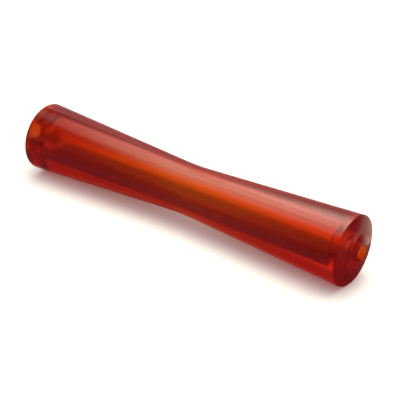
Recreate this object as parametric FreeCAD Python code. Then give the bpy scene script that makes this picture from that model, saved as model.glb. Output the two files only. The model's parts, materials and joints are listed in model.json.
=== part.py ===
import FreeCAD, Part

import math
import os

from FreeCAD import Vector

# A keel roller for a boat trailer, moulded in translucent polyurethane.
#
# The body is an hourglass: two straight tapers that run from the end rims to a short arc at
# the waist. Each end face is a shallow cone that rises towards the shaft hole. The inside is
# cored out from both ends, with a little draft, and each end is closed by a plug that is
# bonded into a pocket. The shaft runs through the holes in the two plugs.
#
# The roller lies along X, with the middle of the shaft axis at the origin and +Z up.

# Roller body, in millimetres and degrees
rim_to_rim = 304.8
end_diameter = 57.15
waist_diameter = 41.3
waist_arc_radius = 195.0
crown_angle = 18.75
rim_rounding = 0.8

# Hollow core, drawn from both ends
core_end_diameter = 22.4
core_middle_diameter = 21.0

# End plugs and the pockets that they seat in
plug_diameter = 30.0
plug_seat_depth = 12.0
plug_bond_gap = 0.05
seam_bevel = 0.3

# Shaft hole
shaft_diameter = 12.7
shaft_clearance = 0.4
hole_mouth_bevel = 0.6

# Sizes that follow from these
half_length = rim_to_rim / 2
end_radius = end_diameter / 2
waist_radius = waist_diameter / 2
hole_radius = (shaft_diameter + shaft_clearance) / 2
pocket_radius = plug_diameter / 2 + plug_bond_gap
plug_radius = plug_diameter / 2
seat = half_length - plug_seat_depth


def taper_meeting_radius():
    """Radius at which the two straight tapers would meet, were there no arc at the waist."""
    meeting = waist_radius
    for _ in range(20):
        taper = math.atan2(end_radius - meeting, half_length)
        meeting = waist_radius - waist_arc_radius * (1 / math.cos(taper) - 1)
    return meeting


def crown_x(radius):
    """Distance from the middle of the roller to its conical end face, at this radius."""
    return half_length + (end_radius - radius) * math.tan(math.radians(crown_angle))


def wall_into_face(radius, bevel, side):
    """Corners where a straight wall comes out at the coned end face, with the edge bevelled.

    The side is +1 where the face goes on outwards from the wall, and -1 where it goes inwards.
    """
    on_wall = (crown_x(radius) - bevel, radius, 0)
    on_face = (crown_x(radius + side * bevel), radius + side * bevel, 0)
    return [on_wall, on_face]


def rounded_profile(corners):
    """Closed wire through (x, radius, rounding) corners, with a tangent arc at each rounding."""
    starts = []
    ends = []
    arcs = []
    count = len(corners)
    for i, (x, radius, rounding) in enumerate(corners):
        corner = Vector(x, 0, radius)
        before = Vector(corners[i - 1][0], 0, corners[i - 1][1]) - corner
        after = Vector(corners[(i + 1) % count][0], 0, corners[(i + 1) % count][1]) - corner
        if rounding == 0:
            starts.append(corner)
            ends.append(corner)
            continue
        before.normalize()
        after.normalize()
        half_angle = before.getAngle(after) / 2
        reach = rounding / math.tan(half_angle)
        inward = before + after
        inward.normalize()
        bulge = corner + inward * (rounding / math.sin(half_angle) - rounding)
        starts.append(corner + before * reach)
        ends.append(corner + after * reach)
        arcs.append(Part.Arc(starts[-1], bulge, ends[-1]).toShape())
    lines = [Part.LineSegment(ends[i - 1], starts[i]).toShape() for i in range(count)]
    return Part.Wire(Part.__sortEdges__(lines + arcs))


def turned(corners):
    """Solid made by turning a closed profile once around the shaft axis."""
    face = Part.Face(rounded_profile(corners))
    return face.revolve(Vector(0, 0, 0), Vector(1, 0, 0), 360)


def mirrored(corners):
    """The same profile corners at the other end, in the order that keeps the outline closed."""
    return [(-x, radius, rounding) for x, radius, rounding in reversed(corners)]


def roller_body():
    """Hourglass body with its cored-out middle and a pocket for a plug at each end."""
    waist = [(0, taper_meeting_radius(), waist_arc_radius)]
    rim = [(half_length, end_radius, rim_rounding)]
    seam = wall_into_face(pocket_radius, seam_bevel, 1)
    shoulder = [(seat, pocket_radius, 0), (seat, core_end_diameter / 2, 0)]
    core_middle = [(0, core_middle_diameter / 2, 0)]
    end = rim + seam[::-1] + shoulder
    return turned(waist + end + core_middle + mirrored(end))


def end_plug(side):
    """Plug that seats on the pocket's shoulder, with the shaft hole through it."""
    foot = [(seat, hole_radius, 0), (seat, plug_radius, 0)]
    seam = wall_into_face(plug_radius, seam_bevel, -1)
    mouth = wall_into_face(hole_radius, hole_mouth_bevel, 1)
    corners = foot + seam + mouth[::-1]
    return turned(corners if side > 0 else mirrored(corners))


nodes = {
    "roller_body": roller_body(),
    "right_end_plug": end_plug(1),
    "left_end_plug": end_plug(-1),
}

os.makedirs("parts", exist_ok=True)
for name, shape in nodes.items():
    if not shape.isValid():
        raise ValueError(name + " isn't a valid solid")
    shape.exportStep("parts/" + name + ".step")
    print(name, "volume", round(shape.Volume / 1000, 2), "cm3")
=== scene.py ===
import json
import math

import bpy
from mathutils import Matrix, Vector


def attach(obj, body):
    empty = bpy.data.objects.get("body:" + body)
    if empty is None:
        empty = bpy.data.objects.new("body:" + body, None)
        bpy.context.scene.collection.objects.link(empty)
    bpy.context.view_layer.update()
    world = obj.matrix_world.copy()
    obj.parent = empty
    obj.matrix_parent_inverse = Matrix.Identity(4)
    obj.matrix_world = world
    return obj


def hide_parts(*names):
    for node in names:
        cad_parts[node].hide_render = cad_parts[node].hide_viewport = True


bl_info = {
    "name": "Keel Roller",
    "version": (1, 0, 0),
    "blender": (4, 5, 0),
    "location": "3D View > Sidebar > Keel Roller",
    "description": "A boat trailer keel roller in translucent red polyurethane, with its studio",
    "category": "Add Mesh",
}

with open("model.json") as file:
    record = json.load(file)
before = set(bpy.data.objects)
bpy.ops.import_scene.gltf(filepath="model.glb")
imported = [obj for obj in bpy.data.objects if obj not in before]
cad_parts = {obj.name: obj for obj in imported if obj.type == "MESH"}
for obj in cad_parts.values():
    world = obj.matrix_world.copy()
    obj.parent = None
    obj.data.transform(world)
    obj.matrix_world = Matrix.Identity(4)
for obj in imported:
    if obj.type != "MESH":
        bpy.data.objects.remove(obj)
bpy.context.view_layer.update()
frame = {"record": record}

# The shaft hole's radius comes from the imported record, which gives it in millimetres.
HOLE_RADIUS = frame["record"]["mounts"][0]["dims"]["r_mm"] / 1000
# The radius at the end rims, which the roller lies on
END_RADIUS = 0.028575

# Rounding of the seam's lips, as a share of the seam's half width
SEAM_LIP = 0.3
# Points of the turned section that lie closer together than this are joined
MERGE_DISTANCE = 1e-7
# Edges that bend by more than this stay crisp
CRISP_ANGLE = math.radians(35)

# The camera stands where the photograph's was, as the roller's outline in it shows. Places are
# in metres, and the sensor and lens in millimetres.
CAMERA_PLACE = (0.56782, -0.75199, 0.55385)
CAMERA_AIM = (0.00939, 0.00137, -0.00733)
CAMERA_SENSOR = 36.0
CAMERA_LENS = 122.66

# The floor lies under the end rims, and reaches this far from the roller's middle
FLOOR_HEIGHT = -END_RADIUS
FLOOR_REACH = 4.0

# Lines along which the cards on the floor meet: along the roller, and from front to back
UNDER_LEFT = -0.172
UNDER_RIGHT = 0.127
GREY_RIGHT = 0.145
UNDER_FRONT = -0.02
SHADE_FRONT = 0.02
MAUVE_BACK = 0.06

# Coloured cards laid on the floor, in the order they are stacked: name, the setting that holds
# its colour, and two corners. Only the roller's reflections and refractions see them, and they
# paint light and shade on the floor there. The grey ones are painted lit floor, which lights the
# roller from behind, and the dimmer mauve ones are painted shade that shows through its two ends.
# The shade card is the roller's painted shadow, which darkens the core, and the glow card under
# the roller is a painted pool of the light that the roller gathers there. The dark card under
# everything and the front card are painted shade, the front one tinted rose.
CARDS = (
    ("dark_card", "dark_card", (-FLOOR_REACH, -FLOOR_REACH), (FLOOR_REACH, FLOOR_REACH)),
    ("grey_card", "grey_card", (-FLOOR_REACH, UNDER_FRONT), (GREY_RIGHT, FLOOR_REACH)),
    ("grey_card_right", "grey_card", (GREY_RIGHT, MAUVE_BACK), (0.25, FLOOR_REACH)),
    ("mauve_card_left", "mauve_card", (-0.5, UNDER_FRONT), (UNDER_LEFT, 0.25)),
    ("mauve_card_right", "mauve_card", (UNDER_RIGHT, UNDER_FRONT), (GREY_RIGHT, MAUVE_BACK)),
    ("front_card", "front_card", (-0.3, -0.1), (0.3, UNDER_FRONT)),
    ("shade_card", "shade_card", (UNDER_LEFT, SHADE_FRONT), (UNDER_RIGHT, 0.046)),
    ("glow_card", "glow_card", (UNDER_LEFT, UNDER_FRONT), (UNDER_RIGHT, SHADE_FRONT)),
)
CARD_THICKNESS = 0.0001

# The wall behind the stage, in two parts, and the ceiling
WALL_LEFT = -2.5
WALL_BACK = 1.2
WALL_WIDTH = 4.0
LOWER_WALL_HEIGHT = 0.6
UPPER_WALL_HEIGHT = 0.35
CEILING_HEIGHT = 1.0
CEILING_REACH = 2.0

# Each one's name, the setting that holds its colour, one corner, and its two sides from there
SCREENS = (
    (
        "lower_wall",
        "lower_wall_colour",
        (WALL_LEFT, WALL_BACK, 0.0),
        (WALL_WIDTH, 0.0, 0.0),
        (0.0, 0.0, LOWER_WALL_HEIGHT),
    ),
    (
        "upper_wall",
        "upper_wall_colour",
        (WALL_LEFT, WALL_BACK, LOWER_WALL_HEIGHT),
        (WALL_WIDTH, 0.0, 0.0),
        (0.0, 0.0, UPPER_WALL_HEIGHT),
    ),
    (
        "grey_ceiling",
        "ceiling_colour",
        (-CEILING_REACH, -CEILING_REACH, CEILING_HEIGHT),
        (2 * CEILING_REACH, 0.0, 0.0),
        (0.0, 2 * CEILING_REACH, 0.0),
    ),
)

# The softbox hangs over the roller and a little behind it, and the dim panel stands in front
SOFTBOX_PLACE = (0.0, 0.115, 0.3)
SOFTBOX_SIZE = (0.83, 0.64)
FRONT_PANEL_PLACE = (-1.2, -1.6, 0.5)
FRONT_PANEL_SIZE = (2.4, 1.2)


def linear(colour):
    """An sRGB hex colour as linear red, green and blue."""
    channels = [int(colour[i : i + 2], 16) / 255 for i in (1, 3, 5)]
    return tuple(c / 12.92 if c <= 0.04045 else ((c + 0.055) / 1.055) ** 2.4 for c in channels)


def colour_setting(name, description, default):
    """A colour that a user can change, with its default as an sRGB hex colour."""
    return bpy.props.FloatVectorProperty(
        name=name,
        description=description,
        subtype="COLOR",
        size=3,
        min=0.0,
        max=1.0,
        default=linear(default),
    )


def add_node(tree, kind, inputs=None, **settings):
    """Adds a node with its settings. Each input is a value, or a socket that it is linked to."""
    node = tree.nodes.new(kind)
    for name, value in settings.items():
        setattr(node, name, value)
    for key, value in (inputs or {}).items():
        if isinstance(value, bpy.types.NodeSocket):
            tree.links.new(value, node.inputs[key])
        else:
            node.inputs[key].default_value = value
    return node


class RollerSizes(bpy.types.PropertyGroup):
    """Sizes of the roller, in metres."""

    rim_to_rim: bpy.props.FloatProperty(
        name="Rim to Rim",
        description="Length between the two end rims",
        default=0.3048,
        min=0.05,
        unit="LENGTH",
    )
    end_radius: bpy.props.FloatProperty(
        name="End Radius",
        description="Radius at the end rims",
        default=END_RADIUS,
        min=0.005,
        unit="LENGTH",
    )
    waist_radius: bpy.props.FloatProperty(
        name="Waist Radius",
        description="Radius at the narrow middle",
        default=0.02065,
        min=0.005,
        unit="LENGTH",
    )
    waist_arc_radius: bpy.props.FloatProperty(
        name="Waist Arc",
        description="Radius of the arc that joins the two tapers",
        default=0.195,
        min=0.01,
        unit="LENGTH",
    )
    crown_angle: bpy.props.FloatProperty(
        name="Crown Angle",
        description="Slope of the coned end faces",
        default=math.radians(18.75),
        min=0.0,
        max=math.radians(60),
        subtype="ANGLE",
    )
    rim_rounding: bpy.props.FloatProperty(
        name="Rim Rounding",
        description="Radius of the rounding along the end rims",
        default=0.0008,
        min=0.0,
        unit="LENGTH",
    )
    core_end_radius: bpy.props.FloatProperty(
        name="Core End Radius",
        description="Radius of the hollow core at its ends",
        default=0.0112,
        min=0.001,
        unit="LENGTH",
    )
    core_middle_radius: bpy.props.FloatProperty(
        name="Core Middle Radius",
        description="Radius of the hollow core at the middle of the roller",
        default=0.0105,
        min=0.001,
        unit="LENGTH",
    )
    plug_seat_depth: bpy.props.FloatProperty(
        name="Plug Seat Depth",
        description="Depth of the shoulder that the end plugs seat on, from the rim",
        default=0.012,
        min=0.001,
        unit="LENGTH",
    )
    plug_radius: bpy.props.FloatProperty(
        name="Plug Radius",
        description="Radius of the end plugs, at the seam around them",
        default=0.015,
        min=0.002,
        unit="LENGTH",
    )
    seam_half_width: bpy.props.FloatProperty(
        name="Seam Half Width",
        description="Half the width of the open seam around the plug",
        default=0.0002,
        min=0.00005,
        unit="LENGTH",
    )
    seam_depth: bpy.props.FloatProperty(
        name="Seam Depth",
        description="How deep the seam around the plug stays open, above its bond",
        default=0.004,
        min=0.00005,
        unit="LENGTH",
    )
    hole_radius: bpy.props.FloatProperty(
        name="Hole Radius",
        description="Radius of the shaft hole",
        default=HOLE_RADIUS,
        min=0.001,
        unit="LENGTH",
    )
    mouth_rounding: bpy.props.FloatProperty(
        name="Mouth Rounding",
        description="Radius of the rounding around the shaft hole's mouth",
        default=0.0006,
        min=0.0,
        unit="LENGTH",
    )
    steps_around: bpy.props.IntProperty(
        name="Steps Around",
        description="Number of faces around the roller",
        default=288,
        min=24,
        max=720,
    )


class RollerLook(bpy.types.PropertyGroup):
    """Colour and clearness of the polyurethane."""

    skin_tint: colour_setting(
        name="Skin Tint",
        description="Colour that light takes on as soon as it enters the material",
        default="#FFEDAA",
    )
    tint: colour_setting(
        name="Tint",
        description="Colour left in light that has crossed the depth given below",
        default="#FDD27B",
    )
    tint_density: bpy.props.FloatProperty(
        name="Tint Density",
        description="How fast the tint deepens, for each metre of material",
        default=220.0,
        min=0.0,
    )
    veil: colour_setting(
        name="Veil",
        description="Colour of the soft glow on the skin",
        default="#FF3024",
    )
    veil_strength: bpy.props.FloatProperty(
        name="Veil Strength",
        description="How much of the glow shows",
        default=0.1,
        min=0.0,
        max=1.0,
        subtype="FACTOR",
    )
    roughness: bpy.props.FloatProperty(
        name="Roughness",
        description="Softness of the skin's reflections",
        default=0.2,
        min=0.0,
        max=1.0,
        subtype="FACTOR",
    )


class StageLook(bpy.types.PropertyGroup):
    """Floor, cards, walls and lights of the studio."""

    floor_colour: colour_setting(
        name="Floor",
        description="Colour of the paper floor",
        default="#F6F6F5",
    )
    softbox_power: bpy.props.FloatProperty(
        name="Softbox",
        description="Power of the softbox over the roller",
        default=10.8,
        min=0.0,
        unit="POWER",
    )
    softbox_colour: colour_setting(
        name="Softbox Colour",
        description="Colour of the softbox's light",
        default="#FFF1DC",
    )
    front_power: bpy.props.FloatProperty(
        name="Front Panel",
        description="Power of the large dim panel in front of the roller",
        default=1.0,
        min=0.0,
        unit="POWER",
    )
    dome_colour: colour_setting(
        name="Dome",
        description="Light of the white dome over the stage",
        default="#F2F2F2",
    )
    upper_wall_colour: colour_setting(
        name="Upper Wall",
        description="Colour of the wall behind the stage, above its lower part",
        default="#F4F2F0",
    )
    lower_wall_colour: colour_setting(
        name="Lower Wall",
        description="Colour of the wall's lower part, which the roller's top edge mirrors",
        default="#A49CA0",
    )
    ceiling_colour: colour_setting(
        name="Ceiling",
        description="Colour of the ceiling, which shows through the roller",
        default="#D0D0D0",
    )
    # Painted shade: the card under everything darkens the floor as the roller's reflections and
    # refractions see it
    dark_card: colour_setting(
        name="Dark Card",
        description="Colour of the card under everything",
        default="#50303E",
    )
    # Painted light: the lit floor behind the roller, as only the roller's reflections and
    # refractions see it
    grey_card: colour_setting(
        name="Grey Card",
        description="Colour of the card behind the roller",
        default="#A0A09A",
    )
    # Painted shade, tinted mauve: the dimmer floor that shows through the roller's two ends
    mauve_card: colour_setting(
        name="Mauve Card",
        description="Colour of the cards that show through the roller's two ends",
        default="#927E9A",
    )
    # Painted shade, tinted rose: the floor in front of the roller, as the roller mirrors it
    front_card: colour_setting(
        name="Front Card",
        description="Colour of the card in front of the roller",
        default="#5A3A4A",
    )
    # Painted shadow: the roller's own shadow on the floor behind it, which shows through and
    # darkens its core
    shade_card: colour_setting(
        name="Shade Card",
        description="Colour of the narrow card behind the roller, which darkens its core",
        default="#5A6830",
    )
    # Painted pool of light: the light that the roller gathers on the floor under it
    glow_card: colour_setting(
        name="Glow Card",
        description="Colour of the card under the roller",
        default="#868274",
    )


def taper_meeting_radius(sizes):
    """Radius at which the two straight tapers would meet, were there no arc at the waist."""
    meeting = sizes.waist_radius
    # Taper and radius depend on each other, and settle within these rounds
    for _ in range(20):
        taper = math.atan2(sizes.end_radius - meeting, sizes.rim_to_rim / 2)
        meeting = sizes.waist_radius - sizes.waist_arc_radius * (1 / math.cos(taper) - 1)
    return meeting


def turned_roller_tree():
    """Geometry Nodes tree that draws the roller's section from its sizes and turns it round X."""
    tree = bpy.data.node_groups.new("Turned Roller", "GeometryNodeTree")
    tree.interface.new_socket("Geometry", in_out="OUTPUT", socket_type="NodeSocketGeometry")
    lengths = (
        "Rim to Rim",
        "End Radius",
        "Taper Meeting Radius",
        "Waist Arc",
        "Crown Slope",
        "Rim Rounding",
        "Core End Radius",
        "Core Middle Radius",
        "Plug Seat Depth",
        "Plug Radius",
        "Seam Half Width",
        "Seam Depth",
        "Hole Radius",
        "Mouth Rounding",
    )
    for name in lengths:
        tree.interface.new_socket(name, in_out="INPUT", socket_type="NodeSocketFloat")
    tree.interface.new_socket("Steps Around", in_out="INPUT", socket_type="NodeSocketInt")
    tree.interface.new_socket("Material", in_out="INPUT", socket_type="NodeSocketMaterial")
    size = add_node(tree, "NodeGroupInput").outputs

    half = add_node(
        tree, "ShaderNodeMath", {0: size["Rim to Rim"], 1: 0.5}, operation="MULTIPLY"
    ).outputs[0]
    seat = add_node(
        tree, "ShaderNodeMath", {0: half, 1: size["Plug Seat Depth"]}, operation="SUBTRACT"
    ).outputs[0]
    seam_outside = add_node(
        tree,
        "ShaderNodeMath",
        {0: size["Plug Radius"], 1: size["Seam Half Width"]},
        operation="ADD",
    ).outputs[0]
    seam_inside = add_node(
        tree,
        "ShaderNodeMath",
        {0: size["Plug Radius"], 1: size["Seam Half Width"]},
        operation="SUBTRACT",
    ).outputs[0]
    # The coned end face rises from the rim towards the shaft: its place at each of four radii
    crown = []
    for radius in (seam_outside, size["Plug Radius"], seam_inside, size["Hole Radius"]):
        inwards = add_node(
            tree, "ShaderNodeMath", {0: size["End Radius"], 1: radius}, operation="SUBTRACT"
        )
        rise = add_node(
            tree,
            "ShaderNodeMath",
            {0: inwards.outputs[0], 1: size["Crown Slope"], 2: half},
            operation="MULTIPLY_ADD",
        )
        crown.append(rise.outputs[0])
    seam_bottom = add_node(
        tree, "ShaderNodeMath", {0: crown[1], 1: size["Seam Depth"]}, operation="SUBTRACT"
    ).outputs[0]
    seam_lip = add_node(
        tree, "ShaderNodeMath", {0: size["Seam Half Width"], 1: SEAM_LIP}, operation="MULTIPLY"
    ).outputs[0]
    # Corners of half the section: place along the shaft, radius, rounding, steps in the rounding
    corners = [
        (0.0, size["Taper Meeting Radius"], size["Waist Arc"], 40),
        (half, size["End Radius"], size["Rim Rounding"], 8),
        (crown[0], seam_outside, seam_lip, 3),
        (seam_bottom, size["Plug Radius"], 0.0, 1),
        (crown[2], seam_inside, seam_lip, 3),
        (crown[3], size["Hole Radius"], size["Mouth Rounding"], 6),
        (seat, size["Hole Radius"], 0.0, 1),
        (seat, size["Core End Radius"], size["Mouth Rounding"], 4),
        (0.0, size["Core Middle Radius"], 0.0, 1),
    ]
    last = len(corners) - 1
    # Points past the core's middle are the same corners at the other end, in reverse order
    index = add_node(tree, "GeometryNodeInputIndex").outputs[0]
    from_end = add_node(tree, "ShaderNodeMath", {0: 2.0 * last, 1: index}, operation="SUBTRACT")
    corner = add_node(
        tree, "ShaderNodeMath", {0: index, 1: from_end.outputs[0]}, operation="MINIMUM"
    ).outputs[0]
    ahead = add_node(tree, "ShaderNodeMath", {0: last + 0.5, 1: index}, operation="SUBTRACT")
    side = add_node(tree, "ShaderNodeMath", {0: ahead.outputs[0]}, operation="SIGN").outputs[0]
    columns = []
    for column, data_type in enumerate(("FLOAT", "FLOAT", "FLOAT", "INT")):
        switch = add_node(tree, "GeometryNodeIndexSwitch", {"Index": corner}, data_type=data_type)
        while len(switch.index_switch_items) < len(corners):
            switch.index_switch_items.new()
        for row, values in enumerate(corners):
            value = values[column]
            if isinstance(value, bpy.types.NodeSocket):
                tree.links.new(value, switch.inputs[row + 1])
            else:
                switch.inputs[row + 1].default_value = value
        columns.append(switch.outputs[0])
    along, radius, rounding, steps = columns
    along = add_node(tree, "ShaderNodeMath", {0: along, 1: side}, operation="MULTIPLY").outputs[0]
    outwards = add_node(
        tree, "ShaderNodeMath", {0: radius, 1: size["Hole Radius"]}, operation="SUBTRACT"
    ).outputs[0]
    place = add_node(tree, "ShaderNodeCombineXYZ", {"X": outwards, "Y": along}).outputs[0]
    chain = add_node(tree, "GeometryNodeMeshLine", {"Count": 2 * last})
    section = add_node(
        tree, "GeometryNodeSetPosition", {"Geometry": chain.outputs[0], "Position": place}
    )
    section = add_node(tree, "GeometryNodeMeshToCurve", {0: section.outputs[0]})
    section = add_node(
        tree, "GeometryNodeSetSplineCyclic", {0: section.outputs[0], "Cyclic": True}
    )
    section = add_node(
        tree,
        "GeometryNodeFilletCurve",
        {"Curve": section.outputs[0], "Radius": rounding, "Count": steps},
        mode="POLY",
    )
    # The hole's own circle is the path, so that the section's points keep their distance from
    # the axis
    path = add_node(
        tree,
        "GeometryNodeCurvePrimitiveCircle",
        {"Resolution": size["Steps Around"], "Radius": size["Hole Radius"]},
    )
    turned = add_node(
        tree,
        "GeometryNodeCurveToMesh",
        {"Curve": path.outputs[0], "Profile Curve": section.outputs[0]},
    )
    turned = add_node(
        tree,
        "GeometryNodeMergeByDistance",
        {0: turned.outputs[0], "Distance": MERGE_DISTANCE},
    )
    turned = add_node(
        tree,
        "GeometryNodeTransform",
        {"Geometry": turned.outputs[0], "Rotation": (0.0, math.pi / 2, 0.0)},
    )
    turned = add_node(
        tree, "GeometryNodeSetShadeSmooth", {0: turned.outputs[0], "Shade Smooth": True}
    )
    angle = add_node(tree, "GeometryNodeInputMeshEdgeAngle").outputs[0]
    crisp = add_node(
        tree, "ShaderNodeMath", {0: angle, 1: CRISP_ANGLE}, operation="GREATER_THAN"
    ).outputs[0]
    turned = add_node(
        tree,
        "GeometryNodeSetShadeSmooth",
        {0: turned.outputs[0], "Selection": crisp, "Shade Smooth": False},
        domain="EDGE",
    )
    turned = add_node(tree, "GeometryNodeRealizeInstances", {0: turned.outputs[0]})
    turned = add_node(
        tree, "GeometryNodeSetMaterial", {0: turned.outputs[0], "Material": size["Material"]}
    )
    add_node(tree, "NodeGroupOutput", {0: turned.outputs[0]})
    return tree


def cast_urethane(look):
    """Dyed, translucent polyurethane elastomer, cast in a polished mould.

    The dye takes green and blue out with depth, so thin walls glow orange and thick ones go
    crimson. The skin is glossy but a little soft, and veiled by a faint red glow.
    """
    material = bpy.data.materials.new("cast polyurethane, translucent red")
    material.use_nodes = True
    tree = material.node_tree
    tree.nodes.clear()
    place = add_node(tree, "ShaderNodeTexCoord").outputs["Object"]
    # Faint polishing lines of the mould, 60 mm long and 1 mm across, run along the roller
    line_length = 0.060
    line_width = 0.001
    line_depth = 0.00001
    lines = add_node(
        tree,
        "ShaderNodeMapping",
        {"Vector": place, "Scale": (1 / line_length, 1 / line_width, 1 / line_width)},
    )
    polish = add_node(
        tree, "ShaderNodeTexNoise", {"Vector": lines.outputs[0], "Scale": 1.0, "Detail": 2.0}
    )
    # The skin has slow waves about 9 mm long, as the elastomer shrinks on curing
    wave_length = 0.009
    wave_depth = 0.00005
    waves = add_node(
        tree, "ShaderNodeTexNoise", {"Vector": place, "Scale": 1 / wave_length, "Detail": 1.0}
    )
    # The polishing lines, whose noise is mostly between 0.3 and 0.7, move the roughness this far
    spread = 0.02
    roughness = add_node(
        tree,
        "ShaderNodeMapRange",
        {
            "Value": polish.outputs["Fac"],
            "From Min": 0.3,
            "From Max": 0.7,
            "To Min": look.roughness - spread,
            "To Max": look.roughness + spread,
        },
    )
    fine = add_node(
        tree,
        "ShaderNodeBump",
        {"Height": polish.outputs["Fac"], "Strength": 0.08, "Distance": line_depth},
    )
    skin = add_node(
        tree,
        "ShaderNodeBump",
        {
            "Height": waves.outputs["Fac"],
            "Strength": 0.4,
            "Distance": wave_depth,
            "Normal": fine.outputs[0],
        },
    )
    surface = add_node(
        tree,
        "ShaderNodeBsdfPrincipled",
        {
            "Base Color": (*look.skin_tint, 1.0),
            "Roughness": roughness.outputs[0],
            "IOR": 1.5,
            "Transmission Weight": 1.0,
            "Sheen Weight": look.veil_strength,
            "Sheen Roughness": 1.0,
            "Sheen Tint": (*look.veil, 1.0),
            "Normal": skin.outputs[0],
        },
    )
    depth = add_node(
        tree,
        "ShaderNodeVolumeAbsorption",
        {"Color": (*look.tint, 1.0), "Density": look.tint_density},
    )
    add_node(
        tree,
        "ShaderNodeOutputMaterial",
        {"Surface": surface.outputs[0], "Volume": depth.outputs[0]},
    )
    return material


def paper(name, colour):
    """Matte seamless studio paper: no gloss, with a faint tooth of fibres about 2 mm long."""
    material = bpy.data.materials.new(name)
    material.use_nodes = True
    tree = material.node_tree
    tree.nodes.clear()
    place = add_node(tree, "ShaderNodeTexCoord").outputs["Object"]
    fibre_length = 0.002
    fibre_depth = 0.0001
    fibres = add_node(
        tree, "ShaderNodeTexNoise", {"Vector": place, "Scale": 1 / fibre_length, "Detail": 3.0}
    )
    tooth = add_node(
        tree,
        "ShaderNodeBump",
        {"Height": fibres.outputs["Fac"], "Strength": 0.1, "Distance": fibre_depth},
    )
    surface = add_node(
        tree,
        "ShaderNodeBsdfPrincipled",
        {
            "Base Color": (*colour, 1.0),
            "Roughness": 0.9,
            "Specular IOR Level": 0.0,
            "Normal": tooth.outputs[0],
        },
    )
    add_node(tree, "ShaderNodeOutputMaterial", {"Surface": surface.outputs[0]})
    return material


def flat_sheet(name, corner, across, up, material):
    """A flat sheet from one corner along its two sides, as a grid."""
    steps = 8
    points = [
        Vector(corner) + Vector(across) * (i / steps) + Vector(up) * (j / steps)
        for j in range(steps + 1)
        for i in range(steps + 1)
    ]
    row = steps + 1
    faces = [
        (j * row + i, j * row + i + 1, (j + 1) * row + i + 1, (j + 1) * row + i)
        for j in range(steps)
        for i in range(steps)
    ]
    mesh = bpy.data.meshes.new(name)
    mesh.from_pydata(points, [], faces)
    mesh.materials.append(material)
    sheet = bpy.data.objects.new(name, mesh)
    bpy.context.scene.collection.objects.link(sheet)
    return sheet


def area_light(name, place, size, power):
    """A rectangular light that faces straight down, bright in the middle and dark at its edges."""
    lamp = bpy.data.lights.new(name, "AREA")
    lamp.shape = "RECTANGLE"
    lamp.size, lamp.size_y = size
    lamp.energy = power
    lamp.use_nodes = True
    tree = lamp.node_tree
    tree.nodes.clear()
    # Parametric coordinates run from 0 to 1 over the light, so its middle is at 0.5
    across = add_node(tree, "ShaderNodeNewGeometry").outputs["Parametric"]
    offset = add_node(
        tree, "ShaderNodeVectorMath", {0: across, 1: (0.5, 0.5, 0.0)}, operation="DISTANCE"
    )
    glow = add_node(
        tree,
        "ShaderNodeMapRange",
        {
            "Value": offset.outputs["Value"],
            "From Min": 0.0,
            "From Max": 0.5,
            "To Min": 1.0,
            "To Max": 0.0,
        },
        interpolation_type="LINEAR",
    )
    diffuser = add_node(tree, "ShaderNodeEmission", {"Strength": glow.outputs[0]})
    add_node(tree, "ShaderNodeOutputLight", {0: diffuser.outputs[0]})
    light = bpy.data.objects.new(name, lamp)
    light.location = place
    light.visible_camera = False
    bpy.context.scene.collection.objects.link(light)
    return light


class MESH_OT_keel_roller(bpy.types.Operator):
    """Add the keel roller, turned from its section, in translucent red polyurethane"""

    bl_idname = "mesh.keel_roller_add"
    bl_label = "Add Keel Roller"

    def execute(self, context):
        sizes = context.scene.keel_roller_sizes
        tree = turned_roller_tree()
        values = {
            "Rim to Rim": sizes.rim_to_rim,
            "End Radius": sizes.end_radius,
            "Taper Meeting Radius": taper_meeting_radius(sizes),
            "Waist Arc": sizes.waist_arc_radius,
            "Crown Slope": math.tan(sizes.crown_angle),
            "Rim Rounding": sizes.rim_rounding,
            "Core End Radius": sizes.core_end_radius,
            "Core Middle Radius": sizes.core_middle_radius,
            "Plug Seat Depth": sizes.plug_seat_depth,
            "Plug Radius": sizes.plug_radius,
            "Seam Half Width": sizes.seam_half_width,
            "Seam Depth": sizes.seam_depth,
            "Hole Radius": sizes.hole_radius,
            "Mouth Rounding": sizes.mouth_rounding,
            "Steps Around": sizes.steps_around,
            "Material": cast_urethane(context.scene.keel_roller_look),
        }
        carrier = bpy.data.objects.new("section", bpy.data.meshes.new("section"))
        context.scene.collection.objects.link(carrier)
        modifier = carrier.modifiers.new("Turned Roller", "NODES")
        modifier.node_group = tree
        for item in tree.interface.items_tree:
            if item.in_out == "INPUT":
                modifier[item.identifier] = values[item.name]
        graph = context.evaluated_depsgraph_get()
        mesh = bpy.data.meshes.new_from_object(carrier.evaluated_get(graph))
        carrier.modifiers.remove(modifier)
        bpy.data.objects.remove(carrier)
        mesh.name = "keel_roller"
        roller = bpy.data.objects.new("keel_roller", mesh)
        context.scene.collection.objects.link(roller)
        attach(roller, "root")
        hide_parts("roller_body", "right_end_plug", "left_end_plug")
        return {"FINISHED"}


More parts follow.
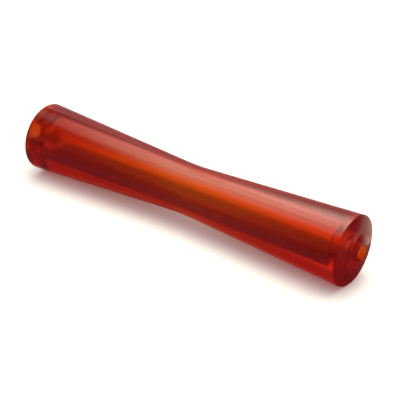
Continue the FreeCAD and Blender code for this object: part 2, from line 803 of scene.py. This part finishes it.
class SCENE_OT_keel_roller_stage(bpy.types.Operator):
    """Add the pale paper floor, the cards and walls, the soft studio lights and the camera"""

    bl_idname = "scene.keel_roller_stage"
    bl_label = "Add Studio"

    def execute(self, context):
        look = context.scene.keel_roller_stage
        flat_sheet(
            "floor",
            (-FLOOR_REACH, -FLOOR_REACH, FLOOR_HEIGHT),
            (2 * FLOOR_REACH, 0.0, 0.0),
            (0.0, 2 * FLOOR_REACH, 0.0),
            paper("seamless paper, pale", look.floor_colour),
        )
        cards = [
            (
                name,
                colour,
                (*low, FLOOR_HEIGHT + layer * CARD_THICKNESS),
                (high[0] - low[0], 0.0, 0.0),
                (0.0, high[1] - low[1], 0.0),
            )
            for layer, (name, colour, low, high) in enumerate(CARDS, 1)
        ]
        # The roller's reflections and refractions see the cards, walls and ceiling instead of the
        # white floor and dome, and nothing else does, so the cards' painted light and shade shows
        # in the roller alone
        for name, colour, corner, across, up in (*cards, *SCREENS):
            sheet = flat_sheet(
                name, corner, across, up, paper("studio card", getattr(look, colour))
            )
            sheet.visible_camera = False
            sheet.visible_diffuse = False
            sheet.visible_shadow = False
            # The ceiling lights the roller's inside alone, and not its skin
            sheet.visible_glossy = name != "grey_ceiling"
        softbox = area_light("softbox", SOFTBOX_PLACE, SOFTBOX_SIZE, look.softbox_power)
        # The softbox shows in reflections alone, and not as a bright spot through the roller
        softbox.visible_transmission = False
        softbox.data.color = look.softbox_colour
        front = area_light("front_panel", FRONT_PANEL_PLACE, FRONT_PANEL_SIZE, look.front_power)
        front.rotation_euler = (-front.location).to_track_quat("-Z", "Y").to_euler()

        world = bpy.data.worlds.new("white dome")
        world.use_nodes = True
        backdrop = world.node_tree.nodes["Background"]
        backdrop.inputs["Color"].default_value = (*look.dome_colour, 1.0)
        backdrop.inputs["Strength"].default_value = 1.0
        context.scene.world = world
        world.cycles_visibility.glossy = False
        world.cycles_visibility.transmission = False

        lens = bpy.data.cameras.new("camera")
        lens.sensor_width = CAMERA_SENSOR
        lens.lens = CAMERA_LENS
        lens.clip_start = 0.01
        camera = bpy.data.objects.new("camera", lens)
        camera.location = CAMERA_PLACE
        sight = Vector(CAMERA_AIM) - Vector(CAMERA_PLACE)
        camera.rotation_euler = sight.to_track_quat("-Z", "Y").to_euler()
        context.scene.collection.objects.link(camera)
        context.scene.camera = camera

        context.scene.view_settings.view_transform = "Standard"
        # Light crosses many walls before it leaves the roller
        cycles = context.scene.cycles
        cycles.use_denoising = True
        cycles.max_bounces = 24
        cycles.transmission_bounces = 24
        cycles.glossy_bounces = 12
        cycles.volume_bounces = 4
        return {"FINISHED"}


class VIEW3D_PT_keel_roller(bpy.types.Panel):
    """Lists the roller's operators and settings"""

    bl_idname = "VIEW3D_PT_keel_roller"
    bl_label = "Keel Roller"
    bl_space_type = "VIEW_3D"
    bl_region_type = "UI"
    bl_category = "Keel Roller"

    def draw(self, context):
        layout = self.layout
        for settings in (
            context.scene.keel_roller_sizes,
            context.scene.keel_roller_look,
            context.scene.keel_roller_stage,
        ):
            box = layout.box()
            for name in settings.__annotations__:
                box.prop(settings, name)
        layout.operator(MESH_OT_keel_roller.bl_idname)
        layout.operator(SCENE_OT_keel_roller_stage.bl_idname)


classes = (
    RollerSizes,
    RollerLook,
    StageLook,
    MESH_OT_keel_roller,
    SCENE_OT_keel_roller_stage,
    VIEW3D_PT_keel_roller,
)


def register():
    for each in classes:
        bpy.utils.register_class(each)
    bpy.types.Scene.keel_roller_sizes = bpy.props.PointerProperty(type=RollerSizes)
    bpy.types.Scene.keel_roller_look = bpy.props.PointerProperty(type=RollerLook)
    bpy.types.Scene.keel_roller_stage = bpy.props.PointerProperty(type=StageLook)


def unregister():
    del bpy.types.Scene.keel_roller_stage
    del bpy.types.Scene.keel_roller_look
    del bpy.types.Scene.keel_roller_sizes
    for each in reversed(classes):
        bpy.utils.unregister_class(each)


def main():
    register()
    bpy.ops.mesh.keel_roller_add()
    bpy.ops.scene.keel_roller_stage()


if __name__ == "__main__":
    main()
